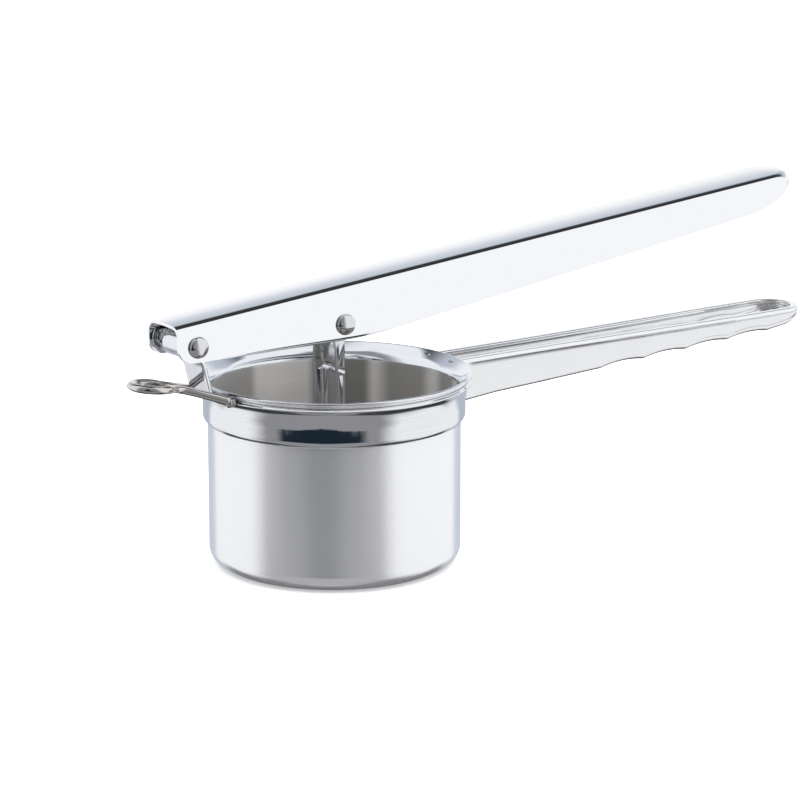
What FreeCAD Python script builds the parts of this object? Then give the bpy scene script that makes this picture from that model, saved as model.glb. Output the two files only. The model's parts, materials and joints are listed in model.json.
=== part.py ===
# Potato ricer: a perforated pressing cup in a welded collar with a fixed loop handle, a hanging hook
# and a hinge bracket, and a channel lever that drives a plunger down into the cup.
# Frame: origin at the middle of the cup's base, +X along the handles, +Z up, millimetres.
import FreeCAD, Part
import math
import os
import Sketcher

DIMENSIONS = {
    "cup_radius": 41.0,
    "cup_sheet": 1.2,
    "cup_corner": 5.5,
    "flare_start": 56.5,
    "flare_bend": 4.0,
    "lip_radius": 44.9,
    "hole_radius": 1.5,
    "hole_pitch": 5.4,
    "collar_sheet": 1.45,
    "collar_gap": 0.05,
    "collar_bottom": 47.4,
    "collar_lip_radius": 44.7,
    "handle_root_half": 8.1,
    "handle_end_half": 10.0,
    "handle_strip": 2.6,
    "handle_top": 61.7,
    "handle_tip": 197.4,
    "handle_swell": 165.0,
    "finger_pitch": 18.5,
    "finger_depth": 1.0,
    "hinge_x": -56.7,
    "hinge_z": 79.5,
    "drive_x": -2.0,
    "drive_z": 80.0,
    "lever_sheet": 1.0,
    "lever_hinge_half": 9.25,
    "lever_drive_half": 9.67,
    "lever_tip_half": 10.9,
    "lever_corner": 3.6,
    "lever_back": -63.8,
    "lever_tip": 191.2,
    "lever_back_top": 86.7,
    "lever_tip_top": 111.6,
    "lever_lower_edge": 74.7,
    "rivet_head_radius": 3.5,
    "rivet_head_height": 2.0,
    "hinge_pin_radius": 2.0,
    "drive_pin_radius": 1.5,
    "pin_clearance": 0.05,
    "bush_radius": 3.45,
    "strap_width": 12.6,
    "strap_sheet": 1.2,
    "strap_foot_z": 60.4,
    "strap_bend": 4.25,
    "hook_wire": 2.6,
    "hook_leg_x": -46.3,
    "hook_leg_y": 9.9,
    "hook_leg_z": 61.1,
    "hook_pinch_x": -60.6,
    "hook_pinch_y": 1.75,
    "hook_pinch_z": 65.9,
    "hook_eye_radius": 6.3,
    "hook_tip": -74.6,
    "hook_tip_z": 67.6,
    "stem_half": 6.9,
    "stem_sheet": 1.2,
    "stem_back": -3.6,
    "stem_front": 0.4,
    "stem_ear_radius": 3.9,
    "stem_hole_z": 64.0,
    "washer_sheet": 0.9,
    "disc_radius": 37.4,
    "disc_x": -1.7,
    "disc_bottom": 1.7,
    "disc_sheet": 1.2,
    "disc_corner": 4.0,
    "weld_radius": 0.9,
}

RING_COUNT = 6
HOLES_PER_RING = 6
FINGER_COUNT = 4


class Size:
    """A length that holds its value and the expression that binds it to the sheet."""

    def __init__(self, value, text):
        self.value = value
        self.text = text

    @staticmethod
    def of(other):
        return other if isinstance(other, Size) else Size(float(other), f"({float(other):.6f})")

    def __add__(self, other):
        other = Size.of(other)
        return Size(self.value + other.value, f"({self.text} + {other.text})")

    def __sub__(self, other):
        other = Size.of(other)
        return Size(self.value - other.value, f"({self.text} - {other.text})")

    def __rsub__(self, other):
        return Size.of(other) - self

    def __mul__(self, factor):
        return Size(self.value * factor, f"({self.text} * ({factor:.6f}))")

    def __neg__(self):
        return self * -1.0

    __rmul__ = __mul__


class Sheet:
    """The driving dimensions, readable as sizes such as sheet.cup_radius."""

    def __init__(self, document):
        table = document.addObject("Spreadsheet::Sheet", "sizes")
        for row, (alias, value) in enumerate(DIMENSIONS.items(), start=1):
            table.set(f"A{row}", alias)
            table.set(f"B{row}", str(value))
            table.setAlias(f"B{row}", alias)
            setattr(self, alias, Size(value, f"sizes.{alias}"))


doc = FreeCAD.newDocument("potato_ricer")
sheet = Sheet(doc)
doc.recompute()

XY, XZ, YZ = "XY_Plane", "XZ_Plane", "YZ_Plane"
FAR = 300.0


def bind(item, prop, size):
    item.setExpression(prop, Size.of(size).text)


def new_body(label, place=None):
    body = doc.addObject("PartDesign::Body", label)
    body.Label = label
    for axis, size in (place or {}).items():
        bind(body, f"Placement.Base.{axis}", size)
    return body


def origin_item(body, role):
    return next(item for item in body.Origin.OriginFeatures if item.Role == role)


def new_sketch(body, role, name, offset=None):
    sketch = body.newObject("Sketcher::SketchObject", name)
    sketch.AttachmentSupport = [(origin_item(body, role), "")]
    sketch.MapMode = "FlatFace"
    if offset is not None:
        bind(sketch, "AttachmentOffset.Base.z", offset)
    return sketch


def locate(sketch, geometry, vertex, x, y):
    for kind, size in (("DistanceX", x), ("DistanceY", y)):
        size = Size.of(size)
        index = sketch.addConstraint(Sketcher.Constraint(kind, -1, 1, geometry, vertex, size.value))
        sketch.setExpression(f"Constraints[{index}]", size.text)


def draw(sketch, points, closed=True):
    """Lines and arcs through points; (x, y, radius, turn) starts an arc that turns left or right."""
    count = len(points)
    vertices = [FreeCAD.Vector(Size.of(p[0]).value, Size.of(p[1]).value, 0) for p in points]
    spans = []
    for i in range(count if closed else count - 1):
        start, finish = vertices[i], vertices[(i + 1) % count]
        if len(points[i]) == 2:
            spans.append((sketch.addGeometry(Part.LineSegment(start, finish)), 1, 2))
            continue
        radius, turn = Size.of(points[i][2]), points[i][3]
        chord = finish - start
        left = FreeCAD.Vector(-chord.y, chord.x, 0).normalize()
        rise = math.sqrt(max(radius.value ** 2 - (chord.Length / 2) ** 2, 0.0))
        centre = start + chord / 2 + left * (rise if turn == "left" else -rise)
        first, last = (start, finish) if turn == "left" else (finish, start)
        angles = [math.atan2(v.y - centre.y, v.x - centre.x) for v in (first, last)]
        circle = Part.Circle(centre, FreeCAD.Vector(0, 0, 1), radius.value)
        arc = sketch.addGeometry(Part.ArcOfCircle(circle, *angles))
        spans.append((arc, 1, 2) if turn == "left" else (arc, 2, 1))
        index = sketch.addConstraint(Sketcher.Constraint("Radius", arc, radius.value))
        sketch.setExpression(f"Constraints[{index}]", radius.text)
    for i, (geometry, head, _) in enumerate(spans):
        before, _, tail = spans[i - 1]
        if closed or i > 0:
            sketch.addConstraint(Sketcher.Constraint("Coincident", before, tail, geometry, head))
        locate(sketch, geometry, head, points[i][0], points[i][1])
    if not closed:
        locate(sketch, spans[-1][0], spans[-1][2], points[-1][0], points[-1][1])


def draw_circle(sketch, x, y, radius):
    x, y, radius = Size.of(x), Size.of(y), Size.of(radius)
    centre = FreeCAD.Vector(x.value, y.value, 0)
    geometry = sketch.addGeometry(Part.Circle(centre, FreeCAD.Vector(0, 0, 1), radius.value))
    locate(sketch, geometry, 3, x, y)
    index = sketch.addConstraint(Sketcher.Constraint("Radius", geometry, radius.value))
    sketch.setExpression(f"Constraints[{index}]", radius.text)


def feature(body, kind, name, sketch):
    made = body.newObject(f"PartDesign::{kind}", name)
    made.Profile = sketch
    return made


def pad(body, name, sketch, length, symmetric=False):
    made = feature(body, "Pad", name, sketch)
    made.SideType = "Symmetric" if symmetric else "One side"
    bind(made, "Length", length)
    return made


def pocket(body, name, sketch, length, symmetric=False):
    """Cuts the sketch out of the body, trying the other side where the first cuts nothing."""
    doc.recompute()
    before = body.Shape.Volume
    made = feature(body, "Pocket", name, sketch)
    made.SideType = "Symmetric" if symmetric else "One side"
    bind(made, "Length", length)
    doc.recompute()
    if before - body.Shape.Volume < 0.01:
        made.Reversed = True
        doc.recompute()
    if before - body.Shape.Volume < 0.01:
        raise RuntimeError(f"{body.Label}: {name} removes nothing")
    return made


def revolve(body, name, sketch):
    made = feature(body, "Revolution", name, sketch)
    made.ReferenceAxis = (sketch, ["V_Axis"])
    made.Angle = 360.0
    return made


# ---- pressing cup: deep-drawn sheet with a flared lip and a perforated base ----

def flare_profile(radius, sheet_thickness, lip_radius, bend):
    """Outer start, outer bend end, outer lip, inner lip, inner bend end and inner start of a flared wall."""
    slope = math.sqrt(0.5)
    centre_x = sheet.cup_radius + sheet.flare_bend
    start = sheet.flare_start
    outer_end = (centre_x - bend * slope, start + bend * slope)
    inner_bend = bend + sheet_thickness
    inner_end = (centre_x - inner_bend * slope, start + inner_bend * slope)
    rise = lip_radius - outer_end[0]
    outer_lip = (lip_radius, outer_end[1] + rise)
    inner_lip = (outer_lip[0] - sheet_thickness * slope, outer_lip[1] + sheet_thickness * slope)
    return (radius, start), outer_end, outer_lip, inner_lip, inner_end, inner_bend


def make_cup():
    body = new_body("pressing_cup")
    bore = sheet.cup_radius - sheet.cup_sheet
    flat = sheet.cup_radius - sheet.cup_corner
    start, outer_end, outer_lip, inner_lip, inner_end, inner_bend = flare_profile(
        sheet.cup_radius, sheet.cup_sheet, sheet.lip_radius, sheet.flare_bend)
    wall = new_sketch(body, XZ, "cup_wall_profile")
    draw(wall, [
        (0, 0),
        (flat, 0, sheet.cup_corner, "left"),
        (sheet.cup_radius, sheet.cup_corner),
        (*start, sheet.flare_bend, "right"),
        outer_end,
        outer_lip,
        inner_lip,
        (*inner_end, inner_bend, "left"),
        (bore, sheet.flare_start),
        (bore, sheet.cup_corner, sheet.cup_corner - sheet.cup_sheet, "right"),
        (flat, sheet.cup_sheet),
        (0, sheet.cup_sheet),
    ])
    revolve(body, "cup_wall", wall)
    for ring in range(1, RING_COUNT + 1):
        hole = new_sketch(body, XY, f"hole_profile_{ring}")
        draw_circle(hole, sheet.hole_pitch * ring, 0, sheet.hole_radius)
        cut = pocket(body, f"hole_{ring}", hole, sheet.cup_sheet * 4, symmetric=True)
        ring_pattern = body.newObject("PartDesign::PolarPattern", f"hole_ring_{ring}")
        ring_pattern.Originals = [cut]
        ring_pattern.Axis = (origin_item(body, "Z_Axis"), [""])
        ring_pattern.Angle = 360.0
        ring_pattern.Occurrences = HOLES_PER_RING * ring
        body.Tip = ring_pattern
    return body


# ---- collar: rolled ring that carries the handle, the hook and the hinge bracket ----

def make_collar():
    body = new_body("collar_ring")
    inner = sheet.cup_radius + sheet.collar_gap
    outer = inner + sheet.collar_sheet
    bend = sheet.flare_bend - sheet.collar_gap - sheet.collar_sheet
    start, outer_end, outer_lip, inner_lip, inner_end, inner_bend = flare_profile(
        outer, sheet.collar_sheet, sheet.collar_lip_radius, bend)
    band = new_sketch(body, XZ, "collar_profile")
    draw(band, [
        (inner, sheet.collar_bottom, sheet.collar_sheet, "left"),
        (outer, sheet.collar_bottom + sheet.collar_sheet),
        (*start, bend, "right"),
        outer_end,
        outer_lip,
        inner_lip,
        (*inner_end, inner_bend, "left"),
        (inner, sheet.flare_start),
    ])
    revolve(body, "collar", band)
    return body


# ---- lower handle: flat strip bent into a long loop, scalloped underneath for the fingers ----

def handle_loop(inset):
    """Plan outline of the loop at a distance inside its outer face, from one root round to the other."""
    root = sheet.handle_root_half - inset
    swell = sheet.handle_end_half - inset
    tip = sheet.handle_tip - inset
    shoulder = sheet.handle_tip - sheet.handle_end_half + 0.5
    nose_radius = swell
    root_x = Size.of(36.0)
    side = [(root_x, -root), (Size.of(85.0), -root), (sheet.handle_swell, -swell),
            (shoulder, -swell, nose_radius, "left"), (tip, 0, nose_radius, "left")]
    back = [(shoulder, swell), (sheet.handle_swell, swell), (Size.of(85.0), root), (root_x, root)]
    return side + back


def make_handle():
    body = new_body("lower_handle")
    plan = new_sketch(body, XY, "handle_plan", sheet.collar_bottom)
    outer = handle_loop(Size.of(0.0))
    inner = handle_loop(sheet.handle_strip)
    inner_back = [(x, y) for x, y in (point[:2] for point in reversed(inner))]
    inner_back[4] = (*inner_back[4], sheet.handle_end_half - sheet.handle_strip, "right")
    inner_back[3] = (*inner_back[3], sheet.handle_end_half - sheet.handle_strip, "right")
    draw(plan, outer + inner_back)
    pad(body, "handle_strip", plan, sheet.handle_top - sheet.collar_bottom)

    underside = new_sketch(body, XZ, "handle_underside")
    first_finger = 104.0
    low_start, low_end = 50.8, 54.8
    grip = [(30.0, 40.0), (215.0, 40.0), (215.0, 58.2), (194.5, 58.0), (187.5, 56.0)]
    fingers = []
    for finger in range(FINGER_COUNT, -1, -1):
        x = first_finger + sheet.finger_pitch.value * finger
        share = finger / FINGER_COUNT
        fingers.append((x, low_start + (low_end - low_start) * share, 45.0, "left"))
    fingers[-1] = fingers[-1][:2]
    root = [(81.0, 49.5), (60.0, 48.6), (47.5, 47.5), (30.0, 46.4)]
    draw(underside, grip + fingers + root)
    pocket(body, "handle_grip", underside, FAR, symmetric=True)

    saddle = new_sketch(body, XY, "handle_saddle")
    draw_circle(saddle, 0, 0, sheet.cup_radius + sheet.collar_gap + sheet.collar_sheet)
    pocket(body, "handle_root", saddle, FAR, symmetric=True)
    lip_notch = new_sketch(body, XY, "handle_lip_notch_plan", sheet.handle_top)
    draw_circle(lip_notch, 0, 0, sheet.lip_radius + sheet.collar_gap)
    pocket(body, "handle_lip_notch", lip_notch, sheet.handle_top - sheet.flare_start)
    return body


def grouped(label, shapes):
    """Several separate solids kept as one node."""
    group = doc.addObject("Part::Compound", label)
    group.Label = label
    group.Links = shapes
    return group


def make_handle_welds():
    beads = []
    reach = sheet.cup_radius + sheet.collar_gap + sheet.collar_sheet
    for name, side in (("near", -1.0), ("far", 1.0)):
        bead = doc.addObject("Part::Cylinder", f"handle_weld_{name}")
        edge = math.sqrt(reach.value ** 2 - DIMENSIONS["handle_root_half"] ** 2)
        bind(bead, "Radius", sheet.weld_radius)
        bind(bead, "Height", sheet.flare_start - sheet.collar_bottom - 2.4)
        bead.Placement.Base = FreeCAD.Vector(edge, side * DIMENSIONS["handle_root_half"], 0)
        bind(bead, "Placement.Base.y", sheet.handle_root_half * side)
        bind(bead, "Placement.Base.z", sheet.collar_bottom + 1.6)
        beads.append(bead)
    return grouped("handle_welds", beads)


# ---- hinge bracket: one strap bent up from the collar and curled round the hinge bush ----

def make_bracket():
    body = new_body("hinge_bracket")
    curl = sheet.bush_radius + sheet.pin_clearance + sheet.strap_sheet * 0.5
    lean = math.radians(75.6)
    run_x, run_z = math.sin(lean), 1.0 - math.cos(lean)
    under_z = sheet.hinge_z - curl
    upper_start = (sheet.hinge_x + sheet.strap_bend * run_x, under_z - sheet.strap_bend * run_z)
    rise = (upper_start[1] - sheet.strap_foot_z).value - DIMENSIONS["strap_bend"] * run_z
    shift = rise * math.cos(lean) / math.sin(lean)
    lower_end = (upper_start[0] + shift, sheet.strap_foot_z + sheet.strap_bend * run_z)
    foot_bend = (lower_end[0] + sheet.strap_bend * run_x, sheet.strap_foot_z)
    foot_end = Size.of(-43.0)
    close = math.radians(10.0)
    spine = new_sketch(body, XZ, "strap_path")
    draw(spine, [
        (foot_end, sheet.strap_foot_z),
        (*foot_bend, sheet.strap_bend, "right"),
        lower_end,
        (*upper_start, sheet.strap_bend, "left"),
        (sheet.hinge_x, under_z, curl, "right"),
        (sheet.hinge_x - curl, sheet.hinge_z, curl, "right"),
        (sheet.hinge_x, sheet.hinge_z + curl, curl, "right"),
        (sheet.hinge_x + curl * math.cos(close), sheet.hinge_z + curl * math.sin(close)),
    ], closed=False)
    section = new_sketch(body, YZ, "strap_section", foot_end)
    half_width, half_sheet = sheet.strap_width * 0.5, sheet.strap_sheet * 0.5
    low, high = sheet.strap_foot_z - half_sheet, sheet.strap_foot_z + half_sheet
    draw(section, [(-half_width, low), (half_width, low), (half_width, high), (-half_width, high)])
    strap = body.newObject("PartDesign::AdditivePipe", "strap")
    strap.Profile = section
    strap.Spine = (spine, [f"Edge{n}" for n in range(1, 8)])
    seat = new_sketch(body, XY, "bracket_seat")
    draw_circle(seat, 0, 0, sheet.collar_lip_radius + sheet.collar_gap)
    pocket(body, "bracket_foot", seat, FAR, symmetric=True)
    return body


def make_bracket_weld():
    spread = 16.0
    bead = doc.addObject("Part::Torus", "bracket_weld")
    bead.Label = "bracket_weld"
    bind(bead, "Radius1", sheet.collar_lip_radius)
    bind(bead, "Radius2", sheet.weld_radius)
    bead.Angle3 = spread
    turn = FreeCAD.Rotation(FreeCAD.Vector(0, 0, 1), 180.0 - spread / 2)
    bead.Placement = FreeCAD.Placement(FreeCAD.Vector(0, 0, 0), turn)
    bind(bead, "Placement.Base.z", sheet.strap_foot_z - sheet.strap_sheet * 0.5 - 0.5)
    return bead


# ---- pot hook: one wire with two legs on the collar, pinched together and opened into an eye ----

def rounded_corner(before, corner, after, radius):
    """Tangent arc that rounds a corner between two straight runs, with the points where it starts and ends."""
    a = (before - corner).normalize()
    b = (after - corner).normalize()
    half = a.getAngle(b) / 2
    reach = radius / math.tan(half)
    centre = corner + (a + b).normalize() * (radius / math.sin(half))
    middle = centre + (corner - centre).normalize() * radius
    start, finish = corner + a * reach, corner + b * reach
    return start, Part.Arc(start, middle, finish).toShape(), finish


def make_hook():
    eye_radius = sheet.hook_eye_radius.value
    leg_end = FreeCAD.Vector(sheet.hook_leg_x.value, -sheet.hook_leg_y.value, sheet.hook_leg_z.value)
    pinch = FreeCAD.Vector(sheet.hook_pinch_x.value, -sheet.hook_pinch_y.value, sheet.hook_pinch_z.value)
    tip = FreeCAD.Vector(sheet.hook_tip.value, 0, sheet.hook_tip_z.value)
    pinch_bend = 5.0
    outward = FreeCAD.Vector(tip.x - pinch.x, 0, tip.z - pinch.z).normalize()
    side = FreeCAD.Vector(0, -1, 0)
    centre = tip - outward * eye_radius
    # the straight run from the pinch touches the eye's circle where it is square to the radius
    gap = pinch - centre
    reach = gap.Length
    back = math.atan2(gap.dot(side), -gap.dot(outward))
    touch = math.acos(eye_radius / reach)
    swing = back + touch
    tangent = centre - outward * (eye_radius * math.cos(swing)) + side * (eye_radius * math.sin(swing))
    start, bend, finish = rounded_corner(leg_end, pinch, tangent, pinch_bend)
    near = [Part.makeLine(leg_end, start), bend, Part.makeLine(finish, tangent)]
    mirrored_tangent = FreeCAD.Vector(tangent.x, -tangent.y, tangent.z)
    eye = Part.Arc(tangent, tip, mirrored_tangent).toShape()
    far = [edge.mirror(FreeCAD.Vector(0, 0, 0), FreeCAD.Vector(0, 1, 0)) for edge in reversed(near)]
    path = Part.Wire(Part.__sortEdges__(near + [eye] + far))
    wire_radius = sheet.hook_wire.value / 2
    ring = Part.makeCircle(wire_radius, leg_end, start - leg_end)
    hook = doc.addObject("Part::Feature", "pot_hook")
    hook.Label = "pot_hook"
    hook.Shape = Part.Solid(path.makePipeShell([Part.Wire(ring)], True, True))
    expected = math.pi * wire_radius ** 2 * path.Length
    if abs(hook.Shape.Volume / expected - 1) > 0.02:
        raise RuntimeError("pot_hook: the wire's volume is not its section times its length")
    return hook


def make_hook_welds():
    beads = []
    for name, side in (("near", -1.0), ("far", 1.0)):
        bead = doc.addObject("Part::Sphere", f"hook_weld_{name}")
        bind(bead, "Radius", sheet.hook_wire * 0.7)
        bind(bead, "Placement.Base.x", sheet.hook_leg_x + 1.2)
        bind(bead, "Placement.Base.y", (sheet.hook_leg_y - 0.85) * side)
        bind(bead, "Placement.Base.z", sheet.hook_leg_z - 0.8)
        beads.append(bead)
    return grouped("hook_welds", beads)


# ---- upper lever: pressed channel, open underneath, that widens to a rounded nose ----

def crown_edges(shape, floor, back):
    """Names of the edges round the lever's top, leaving out the one across its open back end."""
    names = []
    for number, edge in enumerate(shape.Edges, start=1):
        box = edge.BoundBox
        across_back = box.XMax < back + 0.1
        upright = box.ZMin < floor + 1.0
        if not across_back and not upright:
            names.append(f"Edge{number}")
    return names


def lever_blank(label, inset, overrun):
    """Solid of the lever's outside, or of its inside where inset is the sheet's thickness."""
    body = new_body(label)
    floor, ceiling = 60.0, 130.0
    back = sheet.lever_back - overrun
    half, tip_half = sheet.lever_hinge_half - inset, sheet.lever_tip_half - inset
    tip = sheet.lever_tip - inset
    nose_start = tip - tip_half
    plan = new_sketch(body, XY, f"{label}_plan", Size.of(floor))
    draw(plan, [
        (back, -half),
        (nose_start, -tip_half, tip_half, "left"),
        (tip, 0, tip_half, "left"),
        (nose_start, tip_half),
        (back, half),
    ])
    pad(body, f"{label}_block", plan, ceiling - floor)
    crown = new_sketch(body, XZ, f"{label}_crown_line")
    reach = 5.0
    draw(crown, [
        (sheet.lever_back - reach, sheet.lever_back_top - 0.5 - inset),
        (sheet.lever_tip + reach, sheet.lever_tip_top + 0.5 - inset),
        (sheet.lever_tip + reach, ceiling + reach),
        (sheet.lever_back - reach, ceiling + reach),
    ])
    pocket(body, f"{label}_crown_cut", crown, FAR, symmetric=True)
    block = body.Tip
    rounding = body.newObject("PartDesign::Fillet", f"{label}_rounding")
    rounding.Base = (block, crown_edges(block.Shape, floor, back.value))
    bind(rounding, "Radius", sheet.lever_corner - inset)
    doc.recompute()
    return body


def make_lever():
    body = lever_blank("upper_lever", Size.of(0.0), 0.0)
    hollow = lever_blank("lever_inside", sheet.lever_sheet, 1.0)
    solid = body.Shape.Volume
    channel = body.newObject("PartDesign::Boolean", "channel")
    channel.Type = "Cut"
    channel.Group = [hollow]
    doc.recompute()
    if body.Shape.Volume > solid * 0.3:
        raise RuntimeError("upper_lever: the channel was not hollowed")

    lower = new_sketch(body, XZ, "lower_edge")
    edge, corner = sheet.lever_lower_edge, 5.0
    draw(lower, [
        (-70.0, 50.0),
        (200.0, 50.0),
        (200.0, 112.2),
        (194.0, 112.2),
        (191.74, 109.97, 45.0, "right"),
        (166.25, 97.30),
        (20.3, 76.68, 190.0, "right"),
        (-6.3, edge + 0.1),
        (sheet.lever_back + corner, edge, corner, "right"),
        (sheet.lever_back, edge + corner),
        (-70.0, edge + corner),
    ])
    pocket(body, "lower_edge_cut", lower, FAR, symmetric=True)

    for name, x, z, radius in (
            ("hinge_hole", sheet.hinge_x, sheet.hinge_z, sheet.hinge_pin_radius),
            ("drive_hole", sheet.drive_x, sheet.drive_z, sheet.drive_pin_radius)):
        hole = new_sketch(body, XZ, f"{name}_profile")
        draw_circle(hole, x, z, radius + 0.02)
        pocket(body, name, hole, FAR, symmetric=True)
    return body


# ---- rivets, bush and washers ----

def dome_points(seat):
    """Outline of a domed head from its flat seat outwards, in radius and height."""
    head, rim = sheet.rivet_head_radius, 0.25
    crown = sheet.rivet_head_height.value - rim
    ball = Size.of((head.value ** 2 + crown ** 2) / (2 * crown))
    return [(head, seat), (head, seat + rim, ball, "left"), (0, seat + sheet.rivet_head_height)]


def make_rivet(label, x, z, half, radius):
    """Rivet shank with its domed head on the near side; the shank ends inside the far cap."""
    body = new_body(label, {"x": x, "z": z})
    seat = half + 0.03
    sketch = new_sketch(body, XY, f"{label}_profile")
    dome = [(point[0], -point[1]) + point[2:] for point in dome_points(seat)]
    dome = [point[:3] + ("right",) if len(point) > 2 else point for point in dome]
    draw(sketch, [(0, half + 0.9), (radius, half + 0.9), (radius, -seat)] + dome)
    revolve(body, f"{label}_shank", sketch)
    return body


def make_cap(label, x, z, half, radius):
    """Domed cap pressed over the far end of a rivet."""
    body = new_body(label, {"x": x, "z": z})
    seat = half + 0.03
    sketch = new_sketch(body, XY, f"{label}_profile")
    bore = radius + 0.02
    draw(sketch, [(bore, seat)] + dome_points(seat) + [(0, half + 0.92), (bore, half + 0.92)])
    revolve(body, f"{label}_dome", sketch)
    return body


def make_tube(label, x, z, inner, outer, low, high):
    body = new_body(label, {"x": x, "z": z})
    sketch = new_sketch(body, XY, f"{label}_profile")
    draw(sketch, [(inner, low), (outer, low), (outer, high), (inner, high)])
    revolve(body, f"{label}_wall", sketch)
    return body


def make_washers():
    parts = []
    inner = sheet.lever_drive_half - sheet.lever_sheet
    for name, side in (("near", -1.0), ("far", 1.0)):
        outer_ring = doc.addObject("Part::Cylinder", f"washer_blank_{name}")
        bore = doc.addObject("Part::Cylinder", f"washer_bore_{name}")
        bind(outer_ring, "Radius", sheet.rivet_head_radius)
        bind(bore, "Radius", sheet.drive_pin_radius + 0.02)
        for item in (outer_ring, bore):
            bind(item, "Height", sheet.washer_sheet)
            turn = FreeCAD.Rotation(FreeCAD.Vector(1, 0, 0), 90.0)
            item.Placement = FreeCAD.Placement(FreeCAD.Vector(0, 0, 0), turn)
            bind(item, "Placement.Base.x", sheet.drive_x)
            bind(item, "Placement.Base.z", sheet.drive_z)
            reach = inner - 0.08
            bind(item, "Placement.Base.y", reach if side > 0 else sheet.washer_sheet - reach)
        ring = doc.addObject("Part::Cut", f"washer_{name}")
        ring.Base, ring.Tool = outer_ring, bore
        parts.append(ring)
    return grouped("plunger_washers", parts)


# ---- plunger: channel stem, dished disc and the rivets that join them ----

def make_stem():
    body = new_body("plunger_stem")
    half, thick = sheet.stem_half, sheet.stem_sheet
    back, front = sheet.stem_back, sheet.stem_front
    foot = sheet.disc_bottom + sheet.disc_sheet
    bend = 1.8
    channel = new_sketch(body, XY, "stem_section", foot)
    draw(channel, [
        (back, -half),
        (front - bend, -half, bend, "left"),
        (front, bend - half),
        (front, half - bend, bend, "left"),
        (front - bend, half),
        (back, half),
        (back, half - thick),
        (front - bend, half - thick, bend - thick.value, "right"),
        (front - thick, half - bend),
        (front - thick, bend - half, bend - thick.value, "right"),
        (front - bend, thick - half),
        (back, thick - half),
    ])
    pad(body, "stem_channel", channel, sheet.drive_z + 1.0 - foot)

    ear = new_sketch(body, XZ, "ear_profile")
    ear_radius = sheet.stem_ear_radius
    draw(ear, [
        (back, sheet.drive_z - 9.0),
        (front - bend, sheet.drive_z - 9.0),
        (sheet.drive_x + ear_radius, sheet.drive_z, ear_radius, "left"),
        (sheet.drive_x, sheet.drive_z + ear_radius, ear_radius, "left"),
        (sheet.drive_x - ear_radius, sheet.drive_z),
    ])
    pad(body, "ear_block", ear, half * 2, symmetric=True)
    slot = new_sketch(body, XZ, "ear_slot")
    draw(slot, [
        (sheet.drive_x - 20.0, sheet.drive_z - 9.5),
        (front - thick, sheet.drive_z - 9.5),
        (front - thick, sheet.drive_z + 1.0),
        (front + 20.0, sheet.drive_z + 1.0),
        (front + 20.0, sheet.drive_z + 20.0),
        (sheet.drive_x - 20.0, sheet.drive_z + 20.0),
    ])
    pocket(body, "ear_gap", slot, (half - thick) * 2, symmetric=True)

    tab = new_sketch(body, XY, "foot_plan", foot)
    tab_half = 3.2
    middle = sheet.disc_x
    reach = half + 8.5
    draw(tab, [
        (middle - tab_half, -reach),
        (middle + tab_half, -reach),
        (middle + tab_half, reach),
        (middle - tab_half, reach),
    ])
    pad(body, "foot_tabs", tab, thick)

    for name, x, z, radius in (
            ("pin_hole", sheet.drive_x, sheet.drive_z, sheet.drive_pin_radius + sheet.pin_clearance),
            ("spare_hole", sheet.drive_x + 0.4, sheet.stem_hole_z, Size.of(1.6))):
        hole = new_sketch(body, XZ, f"{name}_profile")
        draw_circle(hole, x, z, radius)
        pocket(body, name, hole, FAR, symmetric=True)
    for name, side in (("near", -1.0), ("far", 1.0)):
        hole = new_sketch(body, XY, f"foot_hole_{name}_profile", foot)
        draw_circle(hole, middle, (half + 4.6) * side, 1.62)
        pocket(body, f"foot_hole_{name}", hole, 6.0, symmetric=True)
    return body


def make_disc():
    body = new_body("plunger_disc", {"x": sheet.disc_x, "z": sheet.disc_bottom})
    radius, thick, corner = sheet.disc_radius, sheet.disc_sheet, sheet.disc_corner
    rim = corner + 0.8
    plate = new_sketch(body, XZ, "disc_profile")
    draw(plate, [
        (0, 0),
        (radius - corner, 0, corner, "left"),
        (radius, corner),
        (radius, rim),
        (radius - thick, rim),
        (radius - thick, corner, corner - thick, "right"),
        (radius - corner, thick),
        (0, thick),
    ])
    revolve(body, "disc_plate", plate)
    for name, side in (("near", -1.0), ("far", 1.0)):
        hole = new_sketch(body, XY, f"disc_hole_{name}_profile")
        draw_circle(hole, 0, (sheet.stem_half + 4.6) * side, 1.62)
        pocket(body, f"disc_hole_{name}", hole, 6.0, symmetric=True)
    return body


def make_disc_rivets():
    rivets = []
    top = sheet.disc_sheet + sheet.stem_sheet
    for name, side in (("near", -1.0), ("far", 1.0)):
        body = new_body(f"disc_rivet_{name}", {
            "x": sheet.disc_x, "y": (sheet.stem_half + 4.6) * side, "z": sheet.disc_bottom})
        sketch = new_sketch(body, XZ, f"disc_rivet_{name}_profile")
        draw(sketch, [
            (0, 0.05),
            (1.6, 0.05),
            (1.6, top + 0.02),
            (2.8, top + 0.02),
            (2.8, top + 0.3, 3.5, "left"),
            (0, top + 1.7),
        ])
        revolve(body, f"disc_rivet_{name}_shank", sketch)
        rivets.append(body)
    return grouped("disc_rivets", rivets)


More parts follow.
